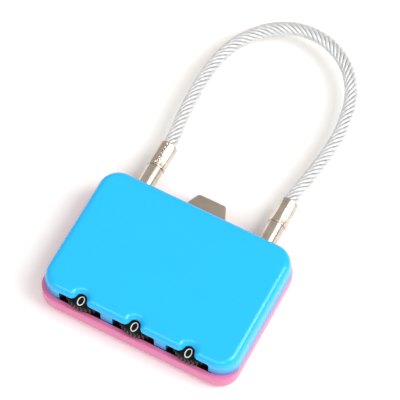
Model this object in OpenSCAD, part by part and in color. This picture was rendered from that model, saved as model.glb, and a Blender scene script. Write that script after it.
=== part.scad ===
// Card-shaped cable padlock with three face dials, lying on its back.
// X runs along the row of dials, Y towards the cable loop, Z out of the front face.
// The origin is on the back face, under the middle of the body.

/* [Body] */
// Width of the front cover
body_w = 40; // [38:1:52]
// Height of the front cover, from the dial edge to the cable edge
body_h = 27.7; // [27:0.1:36]
// Thickness of the closed case
body_t = 8.6; // [8.4:0.1:12]
// Height of the parting line above the back face
split_z = 4.4; // [4.2:0.1:5]
// Thickness of the side walls
wall = 1.2; // [0.9:0.1:1.5]
// Thickness of the front skin
front_skin = 1.2; // [1:0.1:1.4]
// Thickness of the back skin
back_skin = 1.2; // [0.9:0.1:1.3]
// Plan radius of the front cover's corners
corner_r = 4; // [3:0.5:6]
// Rounding of the front edge
front_round = 1.4; // [0.5:0.1:1.4]
// How far the front cover's side walls lean out at the parting line
side_lean = 0.5; // [0:0.1:0.8]
// How far the back cover's lower edge is cut in
foot_in = 1.3; // [0.4:0.1:1.6]
// Height of that cut
foot_h = 2; // [0.5:0.1:3]
// How far the back cover stands out past the front cover at the cable edge
rim_proud = 0.1; // [0:0.1:0.6]
// Width of the back cover's ledge under the dials
ledge = 0.9; // [0.6:0.1:1.2]

/* [Dials] */
// Outer radius of a dial
dial_r = 5; // [4.2:0.1:5.2]
// Gap between neighbouring dials
dial_gap = 1.2; // [0.8:0.1:1.6]
// Thickness of a dial
dial_t = 1.9; // [1.4:0.1:2]
// How far a dial stands out of the bottom wall
dial_proud = 0.7; // [0.2:0.1:0.8]
// Number of teeth round the rim
knurl_n = 40; // [20:10:60]
// Depth of the teeth
knurl_depth = 0.28; // [0.1:0.02:0.4]
// Radius of the circle that the digits stand on
digit_ring_r = 3.7; // [3.2:0.1:4]
// Radius of the reading notch in the front edge
notch_r = 1.15; // [0.9:0.05:1.5]
// Width of the thumb slot in the bottom wall
slot_w = 8.8; // [8:0.2:9.4]
// Radius of the dial axle
axle_r = 0.9; // [0.7:0.05:1.1]
// Radius of the code cam
cam_r = 3; // [2.6:0.1:3.1]

/* [Release] */
// Thickness of the sheet-metal release slide
slide_t = 1; // [0.8:0.1:1.2]
// Width of the push tab where it leaves the case
tab_base_w = 9.4; // [8:0.2:10]
// Width of the push tab at its end
tab_end_w = 5.8; // [4:0.2:8]
// How far the tab stands out of the case
tab_out = 4; // [3.4:0.1:5]
// How far the tab can be pressed
travel = 2.4; // [1.6:0.1:2.8]

/* [Cable and plugs] */
// Radius of a plug's pin
pin_r = 1.7; // [1.4:0.05:2.1]
// Radius of the crimped sleeve
sleeve_r = 1.85; // [1.8:0.05:2.4]
// Radius of the clear-sheathed cable
cable_r = 1.4; // [1.2:0.1:1.5]

/* [Fits] */
// Radial clearance of a part that turns or slides
running = 0.05; // [0.02:0.01:0.09]
// Clearance of a part that is pressed or trapped
seat = 0.01; // [0.01:0.01:0.03]
// Free gap between pieces that pass each other
free = 0.2; // [0.15:0.05:0.3]

/* [Hidden] */
$fn = 48;
over = 0.1;               // how far a cut runs past what it cuts

// The cable's route: [x, y] along the loop, all at one height.
cable_z = 4.2;
route = [[-13, 21], [-13, 24.5], [-13.2, 27.5], [-13.6, 30.5], [-13.9, 33.5], [-14.1, 36.5],
    [-14.2, 39.6], [-14.1, 42.7], [-13.8, 45.8], [-13.1, 48.9], [-12, 51.8], [-10.4, 54.4],
    [-8.5, 56.7], [-6.1, 58.6], [-3.2, 59.9], [0, 60.4], [3.4, 60], [6.4, 58.8],
    [9, 57], [11.1, 54.7], [12.7, 52], [13.8, 49], [14.4, 45.8], [14.8, 42.7],
    [14.8, 39.6], [14.6, 36.5], [14.2, 33.5], [13.8, 30.5], [13.3, 27.5], [13, 24.5], [13, 21]];
cable_sides = 8;

// Heights through the case
roof_z = body_t - front_skin;
slide_z = cable_z - slide_t / 2;                 // underside of the release slide
dial_z = slide_z + slide_t + free;               // underside of the dials
dial_top = dial_z + dial_t;
cam_z = back_skin + 0.8;                         // underside of the code cams
gate_z = cam_z + 1.2;                            // index band below, gate band above
washer_h = 0.35;
slot_top = roof_z - 0.2;

// Plan positions
edge_y = body_h / 2;                             // the cable edge; the dial edge is -edge_y
inner_y = edge_y - wall;
post_r = axle_r + 1.1;                           // the posts, washers and keys round an axle
pitch = 2 * dial_r + dial_gap;
dial_xs = [-pitch, 0, pitch];
dial_y = -edge_y - dial_proud + dial_r;
notch_y = dial_y - digit_ring_r;
cam_top_y = dial_y + cam_r;

// Release slide
tab_slot_w = tab_base_w + free;
bar_h = 3;                                       // the crossbar that carries the fingers
bar_y = cam_top_y + 2 * travel + 1.7;            // its lower edge
finger_w = 1.6;
gate_w = finger_w + 2 * free;
gate_depth = 1.3;
finger_y = cam_top_y + travel + free / 2;        // finger tips with the tab out
spring_x = pitch / 2;                            // a return spring stands between two dials
spring_r = 0.9;
wire_r = 0.15;
spring_turns = 5;
coil_sides = 5;
seat_y = cam_top_y + 0.05;                       // top of the seats that the springs push on
seat_h = 1;                                      // their depth
key_flat = 0.4;                                  // how much the flat takes off a dial's key
tongue_w = 0.8;
tongue_h = 0.9;                                  // how far a tongue reaches into its spring

// Plugs
plug_x = abs(route[0][0]);
butt_y = route[0][1];                            // where the cable's end meets the plug
sleeve_y = 19;
sleeve_end = route[1][1];
sleeve_bore = cable_r + running;
socket_wall = 0.42;
socket_bore = pin_r + running;
socket_r = socket_bore + socket_wall;
socket_end = bar_y + bar_h + 0.9;                // inner face of the socket's closed end
plug_in = socket_end + 1.7;                      // inner end of both pins
groove_y = edge_y - 5;                           // lower edge of both ring grooves
groove_w = 1;
groove_r = pin_r - 0.5;
clip_t = 0.6;
clip_y = groove_y + (groove_w - clip_t) / 2;
clip_r = pin_r + 0.9;
latch_gap = groove_r + running;                  // half the gap between the latch's legs
latch_t = 0.6;
latch_base = 0.5;                                // thickness of the latch's bottom bar
latch_z = back_skin + 0.15;
latch_top = cable_z + pin_r;
latch_tail_x = plug_x - socket_r - 2.2;
latch_lever_z = slide_z + 0.9;
arm_y = clip_y + clip_t + free;                  // lower edge of the slide's release arm
arm_h = 1.2;
arm_end = latch_tail_x + 0.8;

// Moulded features
cradle_half = socket_r + 0.6;
cradle_y = socket_end + 0.6;
peg_r = 0.7;
peg_boss_r = 1.55;
peg_h = 1.6;
peg_x = body_w / 2 - wall - 1.5;
peg_spots = [for (sx = [-1, 1], y = [edge_y - 6, -edge_y / 4]) [sx * peg_x, y]];
comb_y = cam_top_y + 1.5;                        // the straight back of the detent comb
comb_t = 0.2;
comb_z = cam_z + 0.1;
comb_h = 0.9;
comb_end = 2.4;                                  // how far the comb runs past the outer dials' axes
index_n = 10;                                    // one index dent for each digit
index_r = 0.6;
index_depth = 0.3;
dip_half = 2.2;                                  // half the length of a dip in the comb
dip_flat = 0.15;                                 // half the length of its flat bottom
post_w = 1.2;
relief_half = pitch + slot_w / 2 + 0.6;          // half the length of the pocket behind the ledge
bed_t = 0.6;
bed_end = seat_y - seat_h - free;                // the bed's edge towards the cable
rail_w = 0.8;
rail_y = bar_y + bar_h + 1;
rail_h = 3;

// ---- Shapes that repeat ----

// The points of a rounded rectangle, with eight chords to a corner.
function rounded_points(w, h, r, n = 8) = [for (q = [0:3], k = [0:n])
    let (sx = (q == 0 || q == 3) ? 1 : -1, sy = (q < 2) ? 1 : -1, a = 90 * q + 90 * k / n)
    [sx * (w / 2 - r) + r * cos(a), sy * (h / 2 - r) + r * sin(a)]];

// A rounded rectangle drawn in from the given size, from height z up to height z + t.
module slab(w, h, r, z, t, inset = 0) {
    translate([0, 0, z])
        linear_extrude(t) polygon(rounded_points(w - 2 * inset, h - 2 * inset, r - inset));
}

// A slab from bottom_z to top_z whose top edge is rounded over, and whose sides lean out below.
module soft_slab(w, h, r, bottom_z, top_z, round_r, lean) {
    skin = 0.02;
    steps = 3;
    hull() {
        slab(w + 2 * lean, h, r, bottom_z, skin);
        for (k = [0:steps])
            slab(w, h, r, top_z - round_r * (1 - sin(90 * k / steps)) - skin, skin,
                round_r * (1 - cos(90 * k / steps)));
    }
}

// A slab standing on z = 0 with its bottom edge cut in, over the height of the cut.
module footed_slab(w, h, r, top_z, cut_in, cut_h) {
    skin = 0.05;
    hull() {
        slab(w, h, r, cut_h, top_z - cut_h);
        slab(w, h, r, 0, skin, cut_in);
    }
}

// A bar between two corners given as [x, y, z].
module bar(low, high) {
    translate(low) cube(high - low);
}

// A round bar along Y.
module round_y(r, y0, y1) {
    translate([0, y0, 0]) rotate([-90, 0, 0]) cylinder(r = r, h = y1 - y0);
}

// Repeats its children on each dial's axis, or at each plug's axis.
module at_dials() {
    for (x = dial_xs) translate([x, dial_y, 0]) children();
}

module at_plugs() {
    for (sx = [-1, 1]) translate([sx * plug_x, 0, cable_z]) children();
}

// A tube with side_n flats: rings of points joined by quads, closed at both ends.
module skin_rings(rings, side_n) {
    last = len(rings) - 1;
    points = [for (ring = rings, p = ring) p];
    sides = [for (i = [0:last - 1], k = [0:side_n - 1]) let (m = (k + 1) % side_n)
        [i * side_n + k, i * side_n + m, (i + 1) * side_n + m, (i + 1) * side_n + k]];
    start = [for (k = [side_n - 1:-1:0]) k];
    end = [for (k = [0:side_n - 1]) last * side_n + k];
    polyhedron(points, concat([start], sides, [end]), convexity = 10);
}

// The rings of a tube along a level route of [x, y] points.
function level_rings(path, z, r, side_n) = [for (i = [0:len(path) - 1])
    let (
        last = len(path) - 1,
        run = i == 0 ? path[1] - path[0] : i == last ? path[last] - path[last - 1]
            : path[i + 1] - path[i - 1],
        t = run / norm(run)
    )
    [for (k = [0:side_n - 1]) let (a = 360 * (k + 0.5) / side_n)
        [path[i][0] + r * cos(a) * t[1], path[i][1] - r * cos(a) * t[0], z + r * sin(a)]]];

// The rings of a coil spring's wire, from y = 0 to y = length.
function coil_rings(r, wire, turns, length, steps = 10, side_n = coil_sides) =
    [for (i = [0:steps * turns])
        let (
            a = 360 * i / steps,
            rise = (length - 2 * wire) / (360 * turns) * 180 / PI,
            out = [cos(a), 0, sin(a)],
            along = [-r * sin(a), rise, r * cos(a)],
            up = cross(along, out) / norm(along),
            c = [r * cos(a), wire + (length - 2 * wire) * i / (steps * turns), r * sin(a)]
        )
        [for (k = [0:side_n - 1]) let (b = -360 * k / side_n)
            c + wire * (cos(b) * out + sin(b) * up)]];

module coil(r, turns, length) {
    skin_rings(coil_rings(r, wire_r, turns, length), coil_sides);
}

// ---- Case ----

// What both covers leave room for in the cable edge's wall: the tab and the two pins.
module top_openings() {
    bar([-tab_slot_w / 2, inner_y - over, slide_z - free / 2],
        [tab_slot_w / 2, edge_y + rim_proud + over, slide_z + slide_t + free / 2]);
    at_plugs() round_y(socket_bore, inner_y - over, edge_y + rim_proud + over);
}

// Room for the socket, the fixed plug, its clip and the latch, cut from the cradles and ribs.
module plug_rooms() {
    translate([plug_x, 0, cable_z]) round_y(socket_r + seat, socket_end - 1, inner_y);
    translate([-plug_x, 0, cable_z]) {
        round_y(pin_r + seat, plug_in - free, inner_y);
        round_y(clip_r + seat, clip_y - seat, clip_y + clip_t + seat);
    }
    bar([latch_tail_x - free, clip_y - free / 2, latch_z - free / 4],
        [plug_x + latch_gap + latch_t + free, clip_y + clip_t + free / 2, latch_top + free]);
}

module back_cover_posts() {
    floor_z = back_skin - over;
    at_dials() translate([0, 0, floor_z]) cylinder(r = post_r, h = cam_z - running - floor_z);
    for (p = peg_spots) translate([p[0], p[1], floor_z]) {
        cylinder(r = peg_boss_r, h = split_z - floor_z);
        cylinder(r = peg_r, h = split_z + peg_h - floor_z);
    }
    for (sx = [-1, 1]) {
        // cradle under each plug
        bar([sx * plug_x - cradle_half, cradle_y, floor_z],
            [sx * plug_x + cradle_half, inner_y + over, cable_z]);
        // seat of a return spring
        bar([sx * spring_x - post_w / 2, seat_y - seat_h, floor_z],
            [sx * spring_x + post_w / 2, seat_y, cable_z + spring_r - over]);
        // post that grips the detent comb
        bar([sx * spring_x - post_w / 2, comb_y - post_w / 2, floor_z],
            [sx * spring_x + post_w / 2, comb_y + post_w / 2, comb_z + comb_h]);
        // rail beside the slide's stem
        bar([sx * (tab_base_w + rail_w + free) / 2 - rail_w / 2, rail_y, floor_z],
            [sx * (tab_base_w + rail_w + free) / 2 + rail_w / 2, rail_y + rail_h, slide_z + slide_t + 0.5]);
    }
    // pads that the slide runs on
    for (y = [rail_y + 1, inner_y - 2])
        bar([-tab_base_w / 3, y, floor_z], [tab_base_w / 3, y + 1, slide_z - running]);
}

module back_cover() {
    w = body_w + 2 * side_lean;
    h = body_h + ledge + rim_proud;
    color("hotpink") difference() {
        union() {
            difference() {
                translate([0, (rim_proud - ledge) / 2, 0])
                    footed_slab(w, h, corner_r, split_z, foot_in, foot_h);
                slab(body_w - 2 * wall, body_h - 2 * wall, corner_r - wall, back_skin, split_z);
                bar([-relief_half, -edge_y, back_skin], [relief_half, -inner_y + over, split_z + over]);
            }
            back_cover_posts();
        }
        at_dials() translate([0, 0, back_skin / 2]) cylinder(r = axle_r + seat, h = body_t);
        top_openings();
        plug_rooms();
        for (sx = [-1, 1])
            bar([sx * spring_x - post_w, comb_y - comb_t / 2 - seat, comb_z - seat],
                [sx * spring_x + post_w, comb_y + comb_t / 2 + seat, comb_z + comb_h + over]);
    }
}

// The notch that shows one digit, with the thumb slot of the bottom wall under it.
module dial_window() {
    y_out = -edge_y - dial_y - over;
    translate([0, notch_y - dial_y, slot_top - over]) {
        cylinder(r = notch_r, h = body_t);
        translate([-notch_r, y_out - (notch_y - dial_y), 0])
            cube([2 * notch_r, (notch_y - dial_y) - y_out, body_t]);
    }
    bar([-slot_w / 2, y_out, split_z - over], [slot_w / 2, -inner_y - dial_y + over, slot_top]);
}

module front_cover_posts() {
    roof = roof_z + over;
    at_dials() translate([0, 0, dial_top + washer_h + 2 * running])
        cylinder(r = post_r, h = roof - (dial_top + washer_h + 2 * running));
    for (p = peg_spots) translate([p[0], p[1], split_z]) cylinder(r = peg_boss_r, h = roof - split_z);
    for (sx = [-1, 1], y = [cradle_y + 0.6, inner_y - 1.2])
        bar([sx * plug_x - cradle_half, y, cable_z + 0.4], [sx * plug_x + cradle_half, y + 1, roof]);
    for (y = [rail_y + 1, inner_y - 2])
        bar([-tab_base_w / 3, y, slide_z + slide_t + running], [tab_base_w / 3, y + 1, roof]);
}

module front_cover() {
    color("deepskyblue") difference() {
        union() {
            difference() {
                soft_slab(body_w, body_h, corner_r, split_z, body_t, front_round, side_lean);
                slab(body_w - 2 * wall, body_h - 2 * wall, corner_r - wall, split_z - over,
                    roof_z - split_z + over);
            }
            front_cover_posts();
        }
        at_dials() {
            dial_window();
            cylinder(r = axle_r + seat, h = roof_z + front_skin / 2);
        }
        for (p = peg_spots) translate([p[0], p[1], split_z - over])
            cylinder(r = peg_r + seat, h = peg_h + 2 * over);
        top_openings();
        plug_rooms();
    }
}

// The dark plate on the back cover's floor, which is what shows through the thumb slots.
module dial_bed() {
    color([0.08, 0.08, 0.09]) difference() {
        bar([seat - relief_half, seat - edge_y, back_skin], [relief_half - seat, bed_end, back_skin + bed_t]);
        at_dials() translate([0, 0, back_skin - over]) cylinder(r = post_r + seat, h = bed_t + 2 * over);
    }
}

// ---- Dials ----

module dial_axles() {
    color("silver") at_dials() translate([0, 0, back_skin / 2 + seat])
        cylinder(r = axle_r, h = roof_z + front_skin / 2 - back_skin / 2 - 2 * seat);
}

module wave_washers() {
    color("silver") at_dials() translate([0, 0, dial_top + running]) difference() {
        cylinder(r = post_r, h = washer_h);
        translate([0, 0, -over]) cylinder(r = axle_r + running, h = washer_h + 2 * over);
    }
}

// The D-shaped section that keys a dial to its cam.
module key_section(r) {
    intersection() {
        circle(r = r);
        translate([-r, -r]) square([2 * r - key_flat, 2 * r]);
    }
}

// One tooth is four points: a flat crest and a flat root.
function knurl_points() = [for (i = [0:knurl_n - 1], s = [[-0.25, 0], [0.05, 0], [0.25, 1], [0.55, 1]])
    let (a = 360 * (i + s[0]) / knurl_n, r = dial_r - s[1] * knurl_depth) [r * cos(a), r * sin(a)]];

module dial() {
    color([0.08, 0.08, 0.09]) translate([0, 0, dial_z]) difference() {
        linear_extrude(dial_t) polygon(knurl_points());
        translate([0, 0, -over]) linear_extrude(dial_t + 2 * over) key_section(post_r + running);
    }
}

module cam() {
    color("goldenrod") difference() {
        union() {
            translate([0, 0, cam_z]) cylinder(r = cam_r, h = dial_z - cam_z);
            translate([0, 0, cam_z]) linear_extrude(dial_top - cam_z) key_section(post_r);
        }
        translate([0, 0, cam_z - over]) cylinder(r = axle_r + running, h = body_t);
        for (k = [0:index_n - 1]) rotate(90 + 360 * k / index_n)
            translate([cam_r + index_r - index_depth, 0, cam_z - over])
                cylinder(r = index_r, h = gate_z - cam_z + over);
        bar([-gate_w / 2, cam_r - gate_depth, gate_z], [gate_w / 2, cam_r + over, dial_z + over]);
    }
}

module dial_1() { translate([dial_xs[0], dial_y, 0]) dial(); }
module dial_2() { translate([dial_xs[1], dial_y, 0]) dial(); }
module dial_3() { translate([dial_xs[2], dial_y, 0]) dial(); }
module cam_1() { translate([dial_xs[0], dial_y, 0]) cam(); }
module cam_2() { translate([dial_xs[1], dial_y, 0]) cam(); }
module cam_3() { translate([dial_xs[2], dial_y, 0]) cam(); }

// A leaf of spring steel on edge, with a dip that rests in an index dent of each cam.
module detent_spring() {
    tip = cam_top_y - index_depth + 0.12;
    line = concat([[-pitch - comb_end, comb_y]],
        [for (x = dial_xs, d = [[-dip_half, comb_y], [-dip_flat, tip], [dip_flat, tip], [dip_half, comb_y]])
            [x + d[0], d[1]]],
        [[pitch + comb_end, comb_y]]);
    color("lightsteelblue") translate([0, 0, comb_z]) linear_extrude(comb_h)
        polygon(concat([for (p = line) p + [0, comb_t / 2]],
            [for (i = [len(line) - 1:-1:0]) line[i] - [0, comb_t / 2]]));
}

// ---- Release ----

// The slide's outline for x > 0, from the middle finger round to the end of the tab.
function slide_side(with_arm) = concat(
    [[finger_w / 2, finger_y], [finger_w / 2, bar_y],
        [spring_x - tongue_w / 2, bar_y], [spring_x - tongue_w / 2, bar_y - tongue_h],
        [spring_x + tongue_w / 2, bar_y - tongue_h], [spring_x + tongue_w / 2, bar_y],
        [pitch - finger_w / 2, bar_y], [pitch - finger_w / 2, finger_y],
        [pitch + finger_w / 2, finger_y], [pitch + finger_w / 2, bar_y + bar_h],
        [tab_base_w / 2, bar_y + bar_h]],
    with_arm ? [[tab_base_w / 2, arm_y], [arm_end, arm_y], [arm_end, arm_y + arm_h],
        [tab_base_w / 2, arm_y + arm_h]] : [],
    [[tab_base_w / 2, edge_y], [tab_end_w / 2, edge_y + tab_out]]);

module release_slide() {
    left = slide_side(false);
    color("rosybrown") translate([0, 0, slide_z]) linear_extrude(slide_t)
        polygon(concat(slide_side(true), [for (i = [len(left) - 1:-1:0]) [-left[i][0], left[i][1]]]));
}

module return_springs() {
    color("silver") for (sx = [-1, 1])
        translate([sx * spring_x, seat_y + seat, cable_z])
            coil(spring_r, spring_turns, bar_y - seat_y - 2 * seat);
}

// ---- Cable ----

// A turned pin with a ring groove, and a spigot that the sleeve is crimped on.
module plug() {
    lead = 0.5;
    color("gainsboro") translate([0, 0, cable_z]) rotate([-90, 0, 0]) rotate_extrude()
        polygon([[0, plug_in], [pin_r - lead, plug_in], [pin_r, plug_in + lead], [pin_r, groove_y],
            [groove_r, groove_y], [groove_r, groove_y + groove_w], [pin_r, groove_y + groove_w],
            [pin_r, sleeve_y], [sleeve_bore - seat, sleeve_y], [sleeve_bore - seat, butt_y], [0, butt_y]]);
}

module sleeve() {
    color("gainsboro") translate([0, 0, cable_z]) rotate([-90, 0, 0]) rotate_extrude()
        polygon([[sleeve_bore, sleeve_y], [sleeve_r, sleeve_y], [sleeve_r, sleeve_end - 0.3],
            [sleeve_r - 0.15, sleeve_end], [sleeve_bore, sleeve_end]]);
}

module fixed_plug() { translate([-plug_x, 0, 0]) plug(); }
module fixed_plug_sleeve() { translate([-plug_x, 0, 0]) sleeve(); }
module free_plug() { translate([plug_x, 0, 0]) plug(); }
module free_plug_sleeve() { translate([plug_x, 0, 0]) sleeve(); }

// An open ring that sits in the fixed plug's groove and in a slot of both covers.
module fixed_plug_clip() {
    color("silver") translate([-plug_x, 0, cable_z]) difference() {
        round_y(clip_r, clip_y, clip_y + clip_t);
        round_y(groove_r + seat, clip_y - over, clip_y + clip_t + over);
        bar([-groove_r - seat, clip_y - over, 0], [groove_r + seat, clip_y + clip_t + over, clip_r + over]);
    }
}

// The metal liner that the free plug slides in, closed at its inner end.
module plug_socket() {
    color("silver") difference() {
        translate([plug_x, 0, cable_z]) difference() {
            round_y(socket_r, socket_end - 0.5, inner_y - seat);
            round_y(socket_bore, socket_end, inner_y + over);
        }
        for (sx = [-1, 1])
            bar([plug_x + sx * (latch_gap + 1) - 1 - running, clip_y - free / 2, 0],
                [plug_x + sx * (latch_gap + 1) + 1 + running, clip_y + clip_t + free / 2, body_t]);
        // clear of the latch's bottom bar
        bar([plug_x - socket_r, clip_y - free / 2, 0],
            [plug_x + socket_r, clip_y + clip_t + free / 2, latch_z + latch_base + free / 4]);
    }
}

module ejector_spring() {
    color("silver") translate([plug_x, socket_end + seat, cable_z])
        coil(pin_r - 0.55, 3, plug_in - socket_end - 2 * seat);
}

// A flat spring whose two legs stand in the free plug's groove; the slide's arm bends its lever.
module latch_spring() {
    y0 = clip_y;
    y1 = clip_y + clip_t;
    outer = latch_gap + latch_t;
    color("lightsteelblue") {
        bar([latch_tail_x, y0, latch_z], [plug_x + outer, y1, latch_z + latch_base]);
        for (sx = [-1, 1]) translate([plug_x + sx * (latch_gap + latch_t / 2), 0, 0])
            bar([-latch_t / 2, y0, latch_z], [latch_t / 2, y1, latch_top]);
        bar([latch_tail_x, y0, latch_z], [latch_tail_x + latch_t, y1, latch_lever_z]);
    }
}

module cable() {
    color([0.85, 0.87, 0.88])
        skin_rings(level_rings(route, cable_z, cable_r, cable_sides), cable_sides);
}

back_cover();
front_cover();
dial_bed();
dial_axles();
wave_washers();
detent_spring();
dial_1();
dial_2();
dial_3();
cam_1();
cam_2();
cam_3();
release_slide();
return_springs();
fixed_plug();
fixed_plug_clip();
fixed_plug_sleeve();
free_plug();
free_plug_sleeve();
plug_socket();
ejector_spring();
latch_spring();
cable();
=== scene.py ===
"""Looks of a card-shaped combination cable padlock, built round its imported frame.

Lengths in the classes are millimetres in the frame of the part: X along the dials, Y towards
the cable loop, Z out of the front face. Meshes are written in metres.
"""
import logging
import math
from dataclasses import dataclass
from enum import Enum
from typing import Any, Iterable, Mapping, Optional, Sequence, Union

import bmesh
import bpy
from mathutils import Matrix, Vector


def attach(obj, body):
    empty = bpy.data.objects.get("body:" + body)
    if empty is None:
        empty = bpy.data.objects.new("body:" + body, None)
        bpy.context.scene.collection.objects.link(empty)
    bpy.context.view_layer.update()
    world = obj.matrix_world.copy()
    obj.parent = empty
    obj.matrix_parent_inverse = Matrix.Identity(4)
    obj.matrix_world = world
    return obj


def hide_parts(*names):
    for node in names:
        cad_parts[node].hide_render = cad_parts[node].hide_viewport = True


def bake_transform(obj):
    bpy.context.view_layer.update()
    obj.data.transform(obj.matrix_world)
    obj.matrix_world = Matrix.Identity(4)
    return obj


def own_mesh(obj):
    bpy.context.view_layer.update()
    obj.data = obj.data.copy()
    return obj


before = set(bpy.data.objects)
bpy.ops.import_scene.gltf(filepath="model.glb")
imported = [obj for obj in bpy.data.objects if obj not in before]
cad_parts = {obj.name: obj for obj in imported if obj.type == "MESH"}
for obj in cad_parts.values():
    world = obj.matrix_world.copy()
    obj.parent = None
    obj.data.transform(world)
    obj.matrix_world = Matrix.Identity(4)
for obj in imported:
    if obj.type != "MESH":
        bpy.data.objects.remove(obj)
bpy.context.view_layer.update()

MM = 0.001
FULL_TURN = 2 * math.pi
Point2 = tuple[float, float]
Point3 = tuple[float, float, float]
Colour = tuple[float, float, float]
Object = bpy.types.Object
Material = bpy.types.Material
log = logging.getLogger("padlock")


class Slot(Enum):
    """The material slots of the record, by the finishes of the new pieces."""

    FRONT = "blue_abs"
    BACK = "pink_abs"
    DIAL = "black_plastic"
    DIGIT = "digit_paint"
    PLATED = "nickel"
    SHEATH = "clear_sheath"
    ROPE = "rope_steel"
    SPRING = "spring_steel"


class Side(Enum):
    """The two plugs of the cable, by the side of the case that each stands on."""

    FIXED = -1
    FREE = 1


# ---- Node trees ----


class Socket:
    """An output socket of a node, which arithmetic can be written with."""

    def __init__(self, tree: "Tree", link: bpy.types.NodeSocket) -> None:
        """Wraps a node's output.

        Args:
            tree: The tree that the node is in.
            link: The output socket.
        """
        self.tree = tree
        self.link = link

    def _math(self, operation: str, first: Any, second: Any) -> "Socket":
        """Adds one Math node and returns its result."""
        return self.tree.node("ShaderNodeMath", {"operation": operation}, {0: first, 1: second})

    def __add__(self, other: Any) -> "Socket":
        """This value plus another."""
        return self._math("ADD", self, other)

    def __radd__(self, other: Any) -> "Socket":
        """Another value plus this one."""
        return self._math("ADD", other, self)

    def __sub__(self, other: Any) -> "Socket":
        """This value less another."""
        return self._math("SUBTRACT", self, other)

    def __rsub__(self, other: Any) -> "Socket":
        """Another value less this one."""
        return self._math("SUBTRACT", other, self)

    def __mul__(self, other: Any) -> "Socket":
        """This value times another."""
        return self._math("MULTIPLY", self, other)

    def __rmul__(self, other: Any) -> "Socket":
        """Another value times this one."""
        return self._math("MULTIPLY", other, self)

    def __truediv__(self, other: Any) -> "Socket":
        """This value divided by another."""
        return self._math("DIVIDE", self, other)

    def sine(self) -> "Socket":
        """The sine of this angle in radians."""
        return self._math("SINE", self, 0.0)

    def cosine(self) -> "Socket":
        """The cosine of this angle in radians."""
        return self._math("COSINE", self, 0.0)


class Tree:
    """A node tree that is filled from the script."""

    def __init__(self, tree: bpy.types.NodeTree) -> None:
        """Wraps an empty node tree."""
        self.tree = tree

    def node(self, kind: str, settings: Optional[Mapping[str, Any]] = None,
             values: Optional[Mapping[Union[int, str], Any]] = None,
             out: Union[int, str] = 0) -> Socket:
        """Adds a node.

        Args:
            kind: The node's type.
            settings: Its own settings, set first; "stops" holds a ramp's places and colours.
            values: Numbers, colours or sockets for its inputs, by place or name.
            out: The output that is wanted.

        Returns:
            The wanted output.
        """
        made = self.tree.nodes.new(kind)
        for name, value in (settings or {}).items():
            if name == "stops":
                ramp = made.color_ramp
                while len(ramp.elements) < len(value):
                    ramp.elements.new(0.5)
                for stop, (place, colour) in zip(ramp.elements, value):
                    stop.position = place
                    stop.color = (*colour, 1.0)
            else:
                setattr(made, name, value)
        for key, value in (values or {}).items():
            if isinstance(value, Socket):
                self.tree.links.new(value.link, made.inputs[key])
            else:
                made.inputs[key].default_value = value
        return Socket(self, made.outputs[out])


class Shader(Tree):
    """A material's tree, with the patterns that the finishes share."""

    def __init__(self, name: str) -> None:
        """Starts a material.

        Args:
            name: The material's name.
        """
        self.material = bpy.data.materials.new(name)
        self.material.use_nodes = True
        self.material.node_tree.nodes.clear()
        super().__init__(self.material.node_tree)

    def place(self) -> Socket:
        """The object coordinates, in metres."""
        return self.node("ShaderNodeTexCoord", out="Object")

    def stretched(self, scale: Point3, offset: Point3 = (0, 0, 0)) -> Socket:
        """Object coordinates drawn out along the axes.

        Args:
            scale: How many times each axis counts.
            offset: A shift in metres, before the scale.
        """
        moved = self.node("ShaderNodeVectorMath", {"operation": "ADD"}, {0: self.place(), 1: offset})
        return self.node("ShaderNodeVectorMath", {"operation": "MULTIPLY"}, {0: moved, 1: scale})

    def noise(self, size_mm: float, detail: float = 3, where: Optional[Socket] = None) -> Socket:
        """Soft noise from 0 to 1.

        Args:
            size_mm: The size of its largest features.
            detail: How many finer layers it has.
            where: Coordinates other than the object's own.
        """
        return self.node("ShaderNodeTexNoise", None, {
            "Vector": where or self.place(), "Scale": 1 / (size_mm * MM), "Detail": detail})

    def band(self, value: Socket, low: float, high: float, start: float = 0, end: float = 1) -> Socket:
        """A value from low to high spread over start to end, and clamped."""
        return self.node("ShaderNodeMapRange", {"clamp": True}, {
            "Value": value, "From Min": low, "From Max": high, "To Min": start, "To Max": end})

    def blend(self, share: Union[Socket, float], first: Any, second: Any) -> Socket:
        """Mixes two colours.

        Args:
            share: How much of the second there is.
            first: A colour or a colour socket.
            second: The other.
        """
        tint = [c if isinstance(c, Socket) else (*c, 1.0) for c in (first, second)]
        return self.node("ShaderNodeMix", {"data_type": "RGBA"}, {0: share, 6: tint[0], 7: tint[1]}, 2)

    def bump(self, height: Socket, depth_mm: float, strength: float = 1) -> Socket:
        """A normal for a height from 0 to 1 that stands depth_mm high."""
        return self.node("ShaderNodeBump", None, {
            "Height": height, "Distance": depth_mm * MM, "Strength": strength})

    def finish(self, **values: Any) -> Material:
        """Ends the tree in a Principled shader.

        Args:
            values: The shader's inputs, with spaces written as underscores.

        Returns:
            The finished material.
        """
        named = {name.replace("_", " "): value for name, value in values.items()}
        surface = self.node("ShaderNodeBsdfPrincipled", None, named)
        output = self.tree.nodes.new("ShaderNodeOutputMaterial")
        self.tree.links.new(surface.link, output.inputs["Surface"])
        return self.material


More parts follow.
